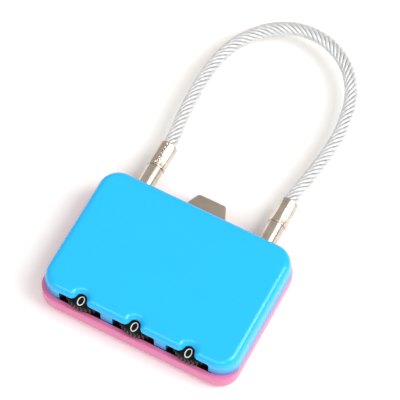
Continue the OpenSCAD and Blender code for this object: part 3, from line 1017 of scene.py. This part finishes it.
@dataclass
class FrontShell:
    """The blue front: a rounded face with three reading notches over three thumb slots."""

    width: float = 40.0
    height: float = 27.7
    lean: float = 0.5
    top: float = 8.6
    bottom: float = 4.42
    wall: float = 1.2
    roof: float = 7.4
    corner: float = 4.0
    fillet: float = 1.4
    fillet_steps: int = 12
    notch: float = 1.15
    notch_y: float = -13.25
    lip: float = 1.0
    slot_half: float = 4.4
    slot_top: float = 7.2
    slot_corner: float = 0.5
    dials: tuple[float, ...] = (-11.2, 0.0, 11.2)
    pin_hole: float = 1.75
    pin_x: float = 13.0
    pin_z: float = 4.2
    tab_half: float = 4.8
    tab_low: float = 3.6
    tab_high: float = 4.8

    def ridge(self, dial: float, side: int, inset: float) -> Point2:
        """Where the rounding of the bottom edge meets that of a notch.

        Args:
            dial: The dial's X.
            side: -1 left of the notch, 1 right of it.
            inset: How far the outline is drawn in.
        """
        rise = self.notch_y + self.height / 2
        span = (self.notch + rise) * (2 * inset + self.notch - rise)
        return dial + side * math.sqrt(max(0.0, span)), -self.height / 2 + inset

    def arc(self, x: float, y: float, radius: float, start: float, end: float, steps: int,
            hollow: bool = False, **more: Any) -> list[RimPoint]:
        """Points along an arc of the outline.

        Args:
            x: The arc's centre.
            y: The same.
            radius: Its radius.
            start: The angle where it starts, in degrees.
            end: Where it ends.
            steps: How many steps it has.
            hollow: Whether the plastic is outside the arc.
            more: The reach and the notch of its points.
        """
        points = []
        for k in range(steps + 1):
            a = math.radians(start + (end - start) * k / steps)
            way = (math.cos(a), math.sin(a))
            inward = way if hollow else (-way[0], -way[1])
            points.append(RimPoint(x + radius * way[0], y + radius * way[1], inward, **more))
        return points

    def notch_edge(self, dial: float) -> list[RimPoint]:
        """The outline past one notch, from left to right: a lip, the notch, a lip."""
        edge = -self.height / 2
        rise = self.notch_y - edge
        lip_x = math.sqrt((self.notch + self.lip) ** 2 - (self.lip - rise) ** 2)
        tilt = math.degrees(math.atan2(rise - self.lip, lip_x))
        hollow = self.arc(dial, self.notch_y, self.notch, 180 + tilt, -tilt, 24, True)[1:-1]
        curve = []
        for p in hollow:
            climb = p.inward[1]
            reach = (self.notch + rise) / (1 - climb) - self.notch if climb < 0.999 else math.inf
            curve.append(RimPoint(p.x, p.y, p.inward, reach, (dial, 1 if p.x > dial else -1)))
        points = []
        for side in (-1, 1):
            lip = self.arc(dial + side * lip_x, edge + self.lip, self.lip,
                           -90 if side < 0 else 180 - tilt, tilt if side < 0 else 270, 8,
                           reach=self.lip - 1e-6, notch=(dial, side))
            flat = []
            for gap in (0.25, 0.7, 1.3):
                t = lip_x + gap
                limit = (t * t - (self.notch + rise) * (self.notch - rise)) / (2 * (self.notch + rise))
                flat.append(RimPoint(dial + side * t, edge, (0, 1), limit, (dial, side)))
            points += (flat[::-1] + lip + curve) if side < 0 else (lip + flat)
        return points

    def outline(self) -> list[RimPoint]:
        """The whole outline, anticlockwise from the left end of the bottom edge."""
        cx, cy = self.width / 2 - self.corner, self.height / 2 - self.corner
        points = self.arc(-cx, -cy, self.corner, 180, 270, 16)
        for dial in self.dials:
            points += self.notch_edge(dial)
        for sx, sy, start in ((1, -1, 270), (1, 1, 0), (-1, 1, 90)):
            points += self.arc(sx * cx, sy * cy, self.corner, start, start + 90, 16)
        return points

    def profile(self) -> list[Point2]:
        """Inset and height of each ring, from the parting line to the face."""
        rings = [(0.3, self.bottom), (0.27, self.bottom + 0.1), (0.04, self.bottom + 0.14),
                 (0.0, self.bottom + 0.2)]
        for k in range(self.fillet_steps + 1):
            a = math.pi / 2 * k / self.fillet_steps
            rings.append((self.fillet * (1 - math.cos(a)), self.top - self.fillet * (1 - math.sin(a))))
        return rings + [(self.fillet + 0.3, self.top)]

    def leaned(self, x: float, z: float) -> float:
        """X of a point of the outline, moved out with the lean of the side walls below the roof."""
        share = min(1.0, max(0.0, (self.roof - z) / (self.roof - self.bottom)))
        outer = max(0.0, (abs(x) - self.width / 2) / self.corner + 1)
        return x + math.copysign(self.lean * share * outer, x)

    def slot_outline(self, dial: float) -> list[Point2]:
        """The section of one thumb slot: X and Z, with its upper corners rounded."""
        r, top, half = self.slot_corner, self.slot_top, self.slot_half
        points = [(dial - half, self.bottom - 1), (dial + half, self.bottom - 1)]
        for sx, start in ((1, 0), (-1, 90)):
            for k in range(7):
                a = math.radians(start + 15 * k)
                points.append((dial + sx * (half - r) + r * math.cos(a), top - r + r * math.sin(a)))
        return points

    def openings(self) -> list[Object]:
        """Cutters for the pin holes and the tab's slot in the cable edge."""
        low, high = self.height / 2 - 2, self.height / 2 + 1
        made = [prism(circle(side * self.pin_x, self.pin_z, self.pin_hole), low, high, "y")
                for side in (-1, 1)]
        box = [(-self.tab_half, self.tab_low), (self.tab_half, self.tab_low),
               (self.tab_half, self.tab_high), (-self.tab_half, self.tab_high)]
        return made + [prism(box, low, high, "y")]

    def build(self) -> None:
        """Builds the front cover."""
        rim = self.outline()
        rings = []
        solid = Solid()
        for inset, z in self.profile():
            drawn = [p.moved(inset, self.ridge) for p in rim]
            rings.append([(self.leaned(x, z), y, z) for x, y in drawn])
        solid.tube(rings)
        piece = solid.make("front_shell")
        hollow = prism(rounded_box(self.width - 2 * self.wall, self.height - 2 * self.wall,
                                   self.corner - self.wall), self.bottom - 1, self.roof)
        edge = -self.height / 2
        slots = [prism(self.slot_outline(x), edge - 1, edge + self.wall + 0.05, "y") for x in self.dials]
        subtract(piece, [hollow, *slots, *self.openings()])
        ease_edges(piece, 0.06)
        smooth(piece, 40)
        finish = MouldedPlastic("blue_gloss", (0.0115, 0.475, 0.92), (0.010, 0.447, 0.89)).make()
        dress(piece, finish, Slot.FRONT, "case", "front_cover")


@dataclass
class BackShell:
    """The pink back: a shallow tray that stands out past the front at its edges."""

    width: float = 41.0
    height: float = 28.7
    centre_y: float = -0.4
    top: float = 4.4
    corner: float = 4.0
    foot_in: float = 1.3
    foot_height: float = 2.0
    shoulder: float = 0.2
    floor: float = 1.2
    hollow: tuple[float, float, float] = (37.6, 25.3, 2.8)
    relief_half: float = 16.2

    def build(self, front: FrontShell) -> None:
        """Builds the back cover.

        Args:
            front: The front, whose openings run on into the back.
        """
        rings, levels = [], []
        for k in range(11):
            a = math.pi / 2 * k / 10
            rings.append((self.foot_in * (1 - math.sin(a)), self.foot_height * (1 - math.cos(a))))
        for k in range(7):
            a = math.pi / 2 * k / 6
            rings.append((self.shoulder * (1 - math.cos(a)),
                          self.top - self.shoulder * (1 - math.sin(a))))
        solid = Solid()
        for inset, z in rings:
            outline = rounded_box(self.width - 2 * inset, self.height - 2 * inset,
                                  self.corner - inset, 16)
            levels.append([(x, y + self.centre_y, z) for x, y in outline])
        solid.tube(levels)
        piece = solid.make("back_shell")
        hollow = prism(rounded_box(*self.hollow), self.floor, self.top + 1)
        low, high = -front.height / 2, -self.hollow[1] / 2 + 0.1
        relief = prism([(-self.relief_half, low), (self.relief_half, low),
                        (self.relief_half, high), (-self.relief_half, high)], self.floor, self.top + 1)
        subtract(piece, [hollow, relief, *front.openings()])
        ease_edges(piece, 0.05)
        smooth(piece, 40)
        finish = MouldedPlastic("pink_gloss", (0.70, 0.175, 0.37), (0.665, 0.165, 0.35), 0.2).make()
        dress(piece, finish, Slot.BACK, "case", "back_cover")


# ---- Dials ----


@dataclass
class Dial:
    """One black dial: a disc with a toothed rim and ten printed digits."""

    number: int
    x: float
    y: float = -9.55
    low: float = 4.9
    high: float = 6.8
    crest: float = 5.0
    root: float = 4.72
    teeth: int = 40
    bore: float = 2.05
    ring: float = 3.7
    digit_width: float = 1.2
    digit_height: float = 1.8
    stroke: float = 0.2
    paint: float = 0.025

    def disc(self) -> Object:
        """The disc inside the teeth, with its rims eased and a shallow ring turned in its face."""
        e = 0.12
        profile = [(self.bore, self.low), (self.root - e, self.low), (self.root, self.low + e),
                   (self.root, self.high - e), (self.root - e, self.high), (2.62, self.high),
                   (2.56, self.high - 0.08), (2.3, self.high - 0.08), (2.24, self.high), (self.bore, self.high)]
        solid = Solid()
        count = 4 * self.teeth
        solid.tube([[(self.x + r * math.cos(FULL_TURN * k / count), self.y + r * math.sin(FULL_TURN * k / count), z)
                     for k in range(count)] for r, z in profile], capped=False)
        return solid.make("disc")

    def tooth(self) -> Object:
        """One tooth, pointing along X from the rim's circle."""
        section = [(-0.45, -0.3), (-0.28, -0.29), (-0.08, -0.2), (0, -0.11), (0, 0.11), (-0.08, 0.2),
                   (-0.28, 0.29), (-0.45, 0.3)]
        solid = Solid()
        rings = []
        for z, ease in ((self.low + 0.03, 0.1), (self.low + 0.14, 0),
                        (self.high - 0.14, 0), (self.high - 0.03, 0.1)):
            rings.append([(x - ease, y * (1 - ease), z) for x, y in section])
        solid.tube(rings)
        return solid.make("tooth")

    def knurl(self, material: Material) -> Object:
        """The ring of teeth, set round the rim by rule."""
        rule = Rule("knurl", {"Teeth": "NodeSocketInt", "Radius": "NodeSocketFloat",
                              "Tooth": "NodeSocketObject", "Centre": "NodeSocketVector"})
        rim = rule.node("GeometryNodeMeshCircle", None, {
            "Vertices": rule.given("Teeth"), "Radius": rule.given("Radius")})
        angle = rule.node("GeometryNodeInputIndex") * FULL_TURN / rule.given("Teeth")
        turn = rule.node("ShaderNodeCombineXYZ", None, {2: angle})
        tooth = rule.node("GeometryNodeObjectInfo", {"transform_space": "ORIGINAL"},
                          {"Object": rule.given("Tooth")}, "Geometry")
        set_round = rule.node("GeometryNodeInstanceOnPoints", None, {
            "Points": rim, "Instance": tooth, "Rotation": turn})
        placed = rule.node("GeometryNodeTransform", None, {
            "Geometry": set_round, "Translation": rule.given("Centre")})
        rule.end(placed, material)
        tooth_piece = self.tooth()
        piece = bpy.data.objects.new("knurl", bpy.data.meshes.new("knurl"))
        bpy.context.scene.collection.objects.link(piece)
        rule.run(piece, {"Teeth": self.teeth, "Radius": self.crest * MM, "Tooth": tooth_piece,
                         "Centre": (self.x * MM, self.y * MM, 0.0)})
        bpy.data.objects.remove(tooth_piece)
        return piece

    def strokes(self, digit: int) -> list[list[Point2]]:
        """The centre lines of a digit in a box from -1 to 1 both ways.

        Args:
            digit: Which digit.

        Returns:
            Its lines; one that ends where it starts is a closed loop.
        """
        def bow(cx: float, cy: float, rx: float, ry: float, start: float, end: float) -> list[Point2]:
            """Points along part of an oval."""
            count = max(6, round(abs(end - start) / 15))
            return [(cx + rx * math.cos(math.radians(start + (end - start) * k / count)),
                     cy + ry * math.sin(math.radians(start + (end - start) * k / count)))
                    for k in range(count + 1)]

        shapes = {
            0: [bow(0, 0, 0.95, 1, 0, 360)],
            1: [[(-0.5, 0.6), (0.1, 1), (0.1, -1)]],
            2: [bow(0, 0.42, 0.9, 0.58, 165, -35) + [(-0.9, -1), (0.95, -1)]],
            3: [bow(0, 0.5, 0.8, 0.5, 150, -90), bow(0, -0.47, 0.9, 0.53, 90, -150)],
            4: [[(0.4, -1), (0.4, 1), (-0.95, -0.35), (0.95, -0.35)]],
            5: [[(0.8, 1), (-0.65, 1), (-0.75, 0.1)] + bow(0, -0.37, 0.92, 0.63, 130, -150)],
            6: [bow(0, -0.42, 0.9, 0.58, 0, 360), [(-0.88, -0.3), (-0.7, 0.35), (-0.2, 0.8), (0.55, 1)]],
            7: [[(-0.9, 1), (0.9, 1), (-0.2, -1)]],
            8: [bow(0, 0.5, 0.75, 0.5, 0, 360), bow(0, -0.46, 0.9, 0.54, 0, 360)],
        }
        shapes[9] = [[(-x, -y) for x, y in line] for line in shapes[6]]
        return shapes[digit]

    def digits(self) -> Object:
        """The ten digits, each with its top towards the axle."""
        solid = Solid()
        for digit in range(10):
            angle = math.radians(-90 + 36 * digit)
            up = Vector((-math.cos(angle), -math.sin(angle)))
            right = Vector((up.y, -up.x))
            centre = Vector((self.x, self.y)) - self.ring * up
            for line in self.strokes(digit):
                path = [centre + 0.5 * self.digit_width * u * right + 0.5 * self.digit_height * v * up
                        for u, v in line]
                closed = (path[0] - path[-1]).length < 1e-6
                if closed:
                    path = path[:-1]
                rings = []
                for k, point in enumerate(path):
                    before = path[k - 1] if k or closed else None
                    after = path[(k + 1) % len(path)] if k < len(path) - 1 or closed else None
                    ways = [w.normalized() for w in (
                        (point - before) if before is not None else None,
                        (after - point) if after is not None else None) if w is not None]
                    along = sum(ways, Vector((0, 0))).normalized()
                    lean = min(1.7, 1 / max(0.2, along.dot(ways[0])))
                    out = Vector((along.y, -along.x)) * (0.5 * self.stroke * lean)
                    rings.append([(*(point - out), self.high - 0.02), (*(point + out), self.high - 0.02),
                                  (*(point + 0.9 * out), self.high + self.paint),
                                  (*(point - 0.9 * out), self.high + self.paint)])
                solid.tube(rings, capped=not closed)
        piece = solid.make(f"dial_{self.number}_digits")
        smooth(piece, 40)
        return piece

    def build(self) -> None:
        """Builds the dial and its digits on their body."""
        body = f"dial_{self.number}"
        finish = DialPlastic(f"dial_{self.number}_black", (self.x, self.y), self.crest).make()
        wheel = joined(f"dial_{self.number}_wheel", [self.disc(), self.knurl(finish)])
        smooth(wheel, 40)
        dress(wheel, finish, Slot.DIAL, body, f"dial_{self.number}")
        dress(self.digits(), DigitPaint(f"dial_{self.number}_paint").make(), Slot.DIGIT, body)


# ---- Release ----


@dataclass
class ReleaseSlide:
    """The pressed sheet slide: a push tab on a crossbar with three fingers."""

    low: float = 3.7
    high: float = 4.7
    edge: float = 13.85
    tab_end: float = 17.85
    base_half: float = 4.7
    end_half: float = 2.9
    tab_corner: float = 0.55
    pitch: float = 11.2
    finger: float = 0.8
    finger_y: float = -4.05
    bar: Point2 = (-0.05, 2.95)
    tongue: float = 0.4
    tongue_y: float = -0.95
    spring_x: float = 5.6
    arm: Point2 = (9.85, 11.05)
    arm_end: float = 9.43
    ease: float = 0.13

    def side(self, with_arm: bool) -> list[Point2]:
        """The outline right of the middle, from the middle finger to the end of the tab."""
        low, high = self.bar
        points = [(self.finger, self.finger_y), (self.finger, low),
                  (self.spring_x - self.tongue, low), (self.spring_x - self.tongue, self.tongue_y),
                  (self.spring_x + self.tongue, self.tongue_y), (self.spring_x + self.tongue, low),
                  (self.pitch - self.finger, low), (self.pitch - self.finger, self.finger_y),
                  (self.pitch + self.finger, self.finger_y), (self.pitch + self.finger, high),
                  (self.base_half, high)]
        if with_arm:
            points += [(self.base_half, self.arm[0]), (self.arm_end, self.arm[0]),
                       (self.arm_end, self.arm[1]), (self.base_half, self.arm[1])]
        points.append((self.base_half, self.edge))
        corner = Vector((self.end_half, self.tab_end))
        slope = (Vector((self.base_half, self.edge)) - corner).normalized()
        start, end = corner + self.tab_corner * slope, corner - Vector((self.tab_corner, 0))
        for k in range(7):
            t = k / 6
            points.append(tuple((1 - t) ** 2 * start + 2 * t * (1 - t) * corner + t * t * end))
        return points

    def build(self) -> None:
        """Builds the slide."""
        outline = self.side(True) + [(-x, y) for x, y in reversed(self.side(False))]
        piece = prism(outline, self.low, self.high)
        piece.name = "release_tab"
        ease_edges(piece, self.ease, 60, 3)
        smooth(piece, 30)
        finish = NickelPlate("tab_nickel", (0.2, 1, 1), (0.60, 0.53, 0.46), (0.50, 0.44, 0.38), 0.27).make()
        dress(piece, finish, Slot.PLATED, "release", "release_slide")


# ---- What stays as the frame has it ----


@dataclass
class InnerWorks:
    """The parts inside the case, which get their finishes and keep their shapes at rest."""

    travel: float = 2.4
    weld: float = 0.001

    def return_springs(self, steel: Material) -> None:
        """The two coils behind the slide, which shorten as the tab is pressed on the lock; they are built at rest.

        Args:
            steel: Their material.
        """
        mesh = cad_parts["return_springs"].data.copy()
        work = bmesh.new()
        work.from_mesh(mesh)
        bmesh.ops.remove_doubles(work, verts=work.verts, dist=self.weld * MM)
        work.to_mesh(mesh)
        work.free()
        piece = bpy.data.objects.new("slide_springs", mesh)
        bpy.context.scene.collection.objects.link(piece)
        smooth(piece, 60)
        dress(piece, steel, Slot.SPRING, "case", "return_springs")
        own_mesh(piece)

    def build(self) -> None:
        """Dresses the carried-over nodes."""
        spring = PlainMetal("spring_steel", (0.62, 0.63, 0.65), 0.26).make()
        brass = PlainMetal("cam_brass", (0.72, 0.52, 0.23), 0.3, (1, 1, 6)).make()
        zinc = PlainMetal("socket_steel", (0.55, 0.55, 0.56), 0.34, (1, 0.2, 1)).make()
        black = MouldedPlastic("bed_black", (0.010, 0.010, 0.011), (0.016, 0.015, 0.015), 0.4).make()
        metals = {"dial_bed": black, "dial_axles": spring, "wave_washers": spring, "detent_spring": spring,
                  "fixed_plug_clip": spring, "ejector_spring": spring,
                  "latch_spring": spring, "plug_socket": zinc,
                  "cam_1": brass, "cam_2": brass, "cam_3": brass}
        for name, metal in metals.items():
            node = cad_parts[name]
            node.data.materials.clear()
            node.data.materials.append(metal)
        self.return_springs(spring)
        log.info("inner works: %d nodes dressed", len(metals))


def main() -> None:
    """Builds the studio and then the lock, part by part."""
    logging.basicConfig(level=logging.INFO, format="%(name)s %(message)s")
    studio = Studio()
    studio.camera()
    plugs = [piece for side in Side for piece in Plug(side).build()]
    CableLoop().build(plugs)
    studio.build()
    front = FrontShell()
    front.build()
    BackShell().build(front)
    for number, x in enumerate(front.dials, start=1):
        Dial(number, x).build()
    ReleaseSlide().build()
    InnerWorks().build()


if __name__ == "__main__":
    main()
